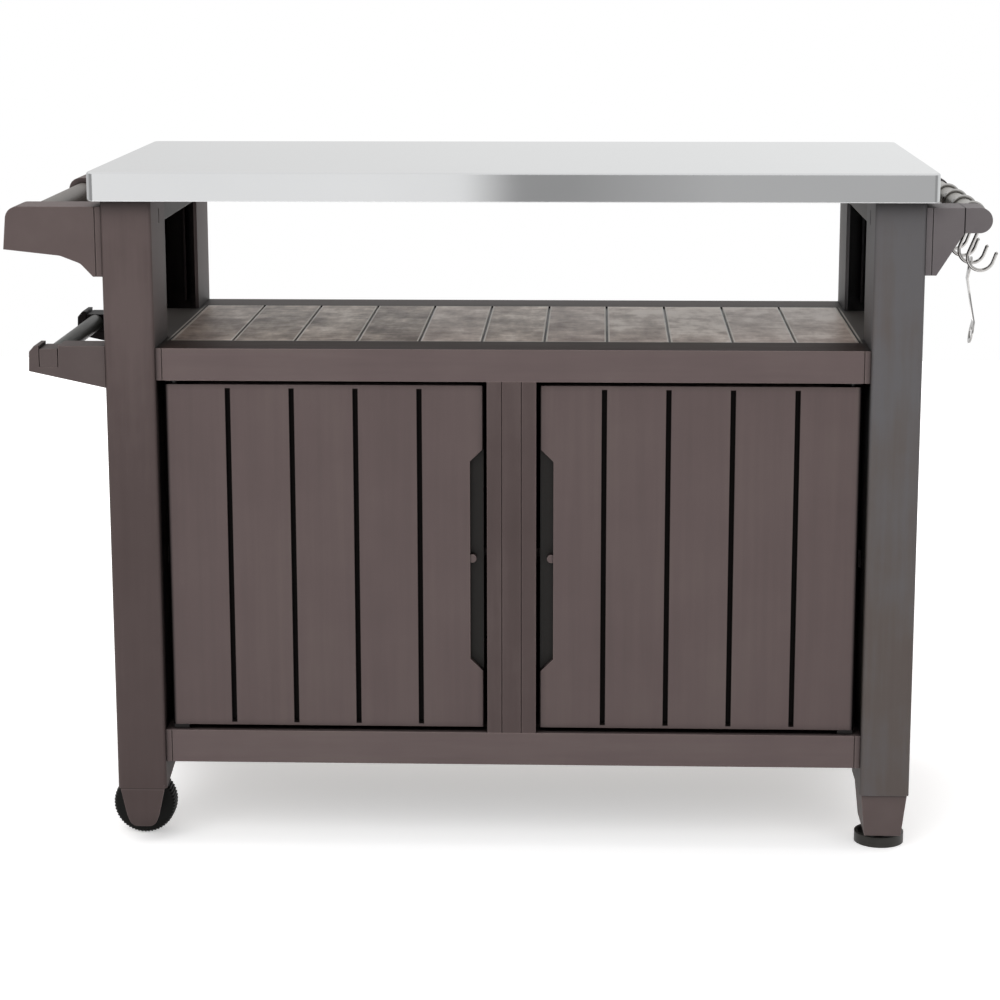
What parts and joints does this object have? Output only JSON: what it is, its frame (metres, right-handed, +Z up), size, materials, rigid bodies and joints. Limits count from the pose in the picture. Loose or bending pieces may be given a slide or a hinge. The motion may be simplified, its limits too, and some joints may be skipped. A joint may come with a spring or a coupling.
{
  "type": "grill cart with storage",
  "caption": "Outdoor grill cart with a steel worktop, open plank shelf, two-door cabinet, push handle, towel bar, hanging hooks, wheels and levelling feet.",
  "frame": {"origin": "on the ground, under the middle of the whole cart's outline", "axes": "+X right along the cart from the handle to the hooks, +Y from the doors to the back, +Z up"},
  "size_m": [1.2818, 0.54, 0.902],
  "materials": {
    "sheet_steel": "satin stainless sheet",
    "resin_frame": "fine matt moulded texture",
    "resin_plank": "matt, faint cloudy wood-like grain",
    "resin_core": "matt",
    "resin_fitting": "fine matt moulded texture",
    "bush_plastic": "smooth",
    "bar_metal": "satin powder coat",
    "rail_metal": "satin powder coat",
    "pin_steel": "bright",
    "pull_liner": "matt black",
    "hook_wire": "polished",
    "opener_steel": "polished",
    "wheel_tyre": "black, hard tread",
    "wheel_hub": "black",
    "foot_plastic": "black"
  },
  "bodies": {
    "cart": {"table_top": "sheet_steel", "table_core": "resin_core", "post_front_left": "resin_frame", "post_front_right": "resin_frame", "post_back_left": "resin_frame", "post_back_right": "resin_frame", "top_side_rail_left": "resin_frame", "top_side_rail_right": "resin_frame", "shelf_panel": "resin_plank", "shelf_front_beam": "resin_frame", "shelf_back_beam": "resin_frame", "shelf_side_rail_left": "resin_frame", "shelf_side_rail_right": "resin_frame", "cabinet_floor": "resin_core", "bottom_front_rail": "resin_frame", "bottom_back_rail": "resin_frame", "side_panel_left": "resin_plank", "side_panel_right": "resin_plank", "back_panel": "resin_plank", "centre_stile": "resin_frame", "centre_partition": "resin_core", "inner_shelf_left": "resin_core", "inner_shelf_right": "resin_core", "shelf_cleats": "resin_core", "hinge_bushes": "bush_plastic", "door_catches": "bush_plastic", "handle_bracket_front": "resin_fitting", "handle_bracket_back": "resin_fitting", "handle_bar": "bar_metal", "towel_bracket_front": "resin_fitting", "towel_bracket_back": "resin_fitting", "rail_bracket_front": "resin_fitting", "rail_bracket_back": "resin_fitting", "rail_cap_front": "resin_fitting", "rail_cap_back": "resin_fitting", "hook_rail": "rail_metal", "wheel_fork_front": "resin_fitting", "wheel_fork_back": "resin_fitting", "wheel_axles": "pin_steel", "leg_foot_front": "resin_fitting", "leg_foot_back": "resin_fitting"},
    "left_door": {"door_left": "resin_plank", "door_left_pull": "pull_liner", "door_left_pins": "pin_steel"},
    "right_door": {"door_right": "resin_plank", "door_right_pull": "pull_liner", "door_right_pins": "pin_steel"},
    "front_wheel": {"wheel_tyre_front": "wheel_tyre", "wheel_hub_front": "wheel_hub"},
    "back_wheel": {"wheel_tyre_back": "wheel_tyre", "wheel_hub_back": "wheel_hub"},
    "towel_rod": {"towel_bar": "bar_metal", "towel_bar_ends": "bush_plastic"},
    "first_hook": {"hook_1": "hook_wire"},
    "second_hook": {"hook_2": "hook_wire"},
    "third_hook": {"hook_3": "hook_wire"},
    "fourth_hook": {"hook_4": "hook_wire"},
    "opener": {"bottle_opener": "opener_steel"},
    "front_foot": {"levelling_foot_front": "foot_plastic"},
    "back_foot": {"levelling_foot_back": "foot_plastic"}
  },
  "joints": [
    {"name": "left_door_hinge", "type": "hinge", "parent": "cart", "child": "left_door", "pos_m": [-0.42849, -0.225, 0.166], "axis": [0, 0, -1], "range_deg": [0, 105]},
    {"name": "right_door_hinge", "type": "hinge", "parent": "cart", "child": "right_door", "pos_m": [0.45251, -0.225, 0.166], "axis": [0, 0, 1], "range_deg": [0, 105]},
    {"name": "front_wheel_spin", "type": "hinge", "parent": "cart", "child": "front_wheel", "pos_m": [-0.48849, -0.183, 0.042], "axis": [0, 1, 0], "continuous": true},
    {"name": "back_wheel_spin", "type": "hinge", "parent": "cart", "child": "back_wheel", "pos_m": [-0.48849, 0.183, 0.042], "axis": [0, 1, 0], "continuous": true},
    {"name": "towel_rod_lift", "type": "slide", "parent": "cart", "child": "towel_rod", "axis": [0, 0, 1], "range_m": [0, 0.04]},
    {"name": "first_hook_swing", "type": "hinge", "parent": "cart", "child": "first_hook", "pos_m": [0.60501, -0.172, 0.841], "axis": [0, -1, 0], "range_deg": [-25, 45]},
    {"name": "second_hook_swing", "type": "hinge", "parent": "cart", "child": "second_hook", "pos_m": [0.60501, -0.088, 0.841], "axis": [0, -1, 0], "range_deg": [-25, 45]},
    {"name": "third_hook_swing", "type": "hinge", "parent": "cart", "child": "third_hook", "pos_m": [0.60501, -0.004, 0.841], "axis": [0, -1, 0], "range_deg": [-25, 45]},
    {"name": "fourth_hook_swing", "type": "hinge", "parent": "cart", "child": "fourth_hook", "pos_m": [0.60501, 0.08, 0.841], "axis": [0, -1, 0], "range_deg": [-25, 45]},
    {"name": "opener_swing", "type": "hinge", "parent": "second_hook", "child": "opener", "pos_m": [0.61801, -0.088, 0.769], "axis": [1, 0, 0], "range_deg": [-30, 30]},
    {"name": "front_foot_turn", "type": "hinge", "parent": "cart", "child": "front_foot", "pos_m": [0.50551, -0.195, 0], "axis": [0, 0, 1], "continuous": true},
    {"name": "back_foot_turn", "type": "hinge", "parent": "cart", "child": "back_foot", "pos_m": [0.50551, 0.195, 0], "axis": [0, 0, 1], "continuous": true}
  ]
}
